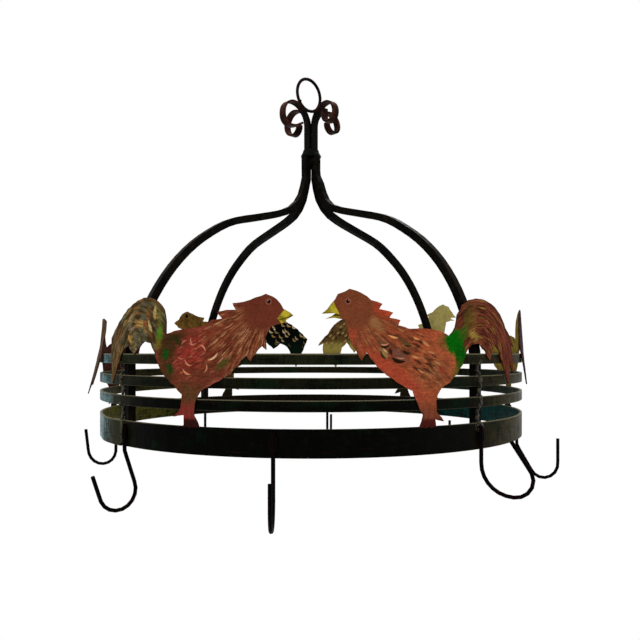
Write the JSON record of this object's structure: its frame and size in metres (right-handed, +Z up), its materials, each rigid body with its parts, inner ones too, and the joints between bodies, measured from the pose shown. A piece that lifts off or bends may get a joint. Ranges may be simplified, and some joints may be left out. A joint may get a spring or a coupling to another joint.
{
  "type": "hanging pot rack",
  "caption": "Round wrought-iron pot rack that hangs from a ring: strip hoops and a hook band on bent bars, scrolled crown, painted sheet-metal roosters.",
  "frame": {"origin": "inside top of the hanging ring, where the ceiling hook or chain bears", "axes": "+Z up; -Y is the front, the side with the two roosters that face each other"},
  "size_m": [0.5964, 0.59, 0.4961],
  "materials": {
    "hoop_paint": "worn dark green-black paint with olive patches",
    "bar_paint": "worn red-brown and olive paint",
    "crown_paint": "rusty red-brown paint, worn at the edges",
    "bare_steel": "dull bare rod with rust specks",
    "hook_paint": "black paint with a dark red tint",
    "rooster_paint": "hand-painted brush strokes in red, cream, green and olive"
  },
  "bodies": {
    "root": {"top_hoop": "hoop_paint", "second_hoop": "hoop_paint", "third_hoop": "hoop_paint", "hook_band": "hoop_paint", "arm_front_left": "bar_paint", "arm_front_right": "bar_paint", "arm_back_right": "bar_paint", "arm_back_left": "bar_paint", "scroll_front_left": "crown_paint", "scroll_front_right": "crown_paint", "scroll_back_right": "crown_paint", "scroll_back_left": "crown_paint", "crown_weld": "crown_paint", "hanging_ring": "bare_steel", "hook_front_left": "hook_paint", "hook_front": "hook_paint", "hook_front_right": "hook_paint", "hook_right": "hook_paint", "hook_back_right": "hook_paint", "hook_back": "hook_paint", "hook_back_left": "hook_paint", "hook_left": "hook_paint", "rooster_front_left": "rooster_paint", "rooster_front_right": "rooster_paint", "rooster_right": "rooster_paint", "rooster_back_right": "rooster_paint", "rooster_back_left": "rooster_paint", "rooster_left": "rooster_paint"}
  },
  "joints": []
}
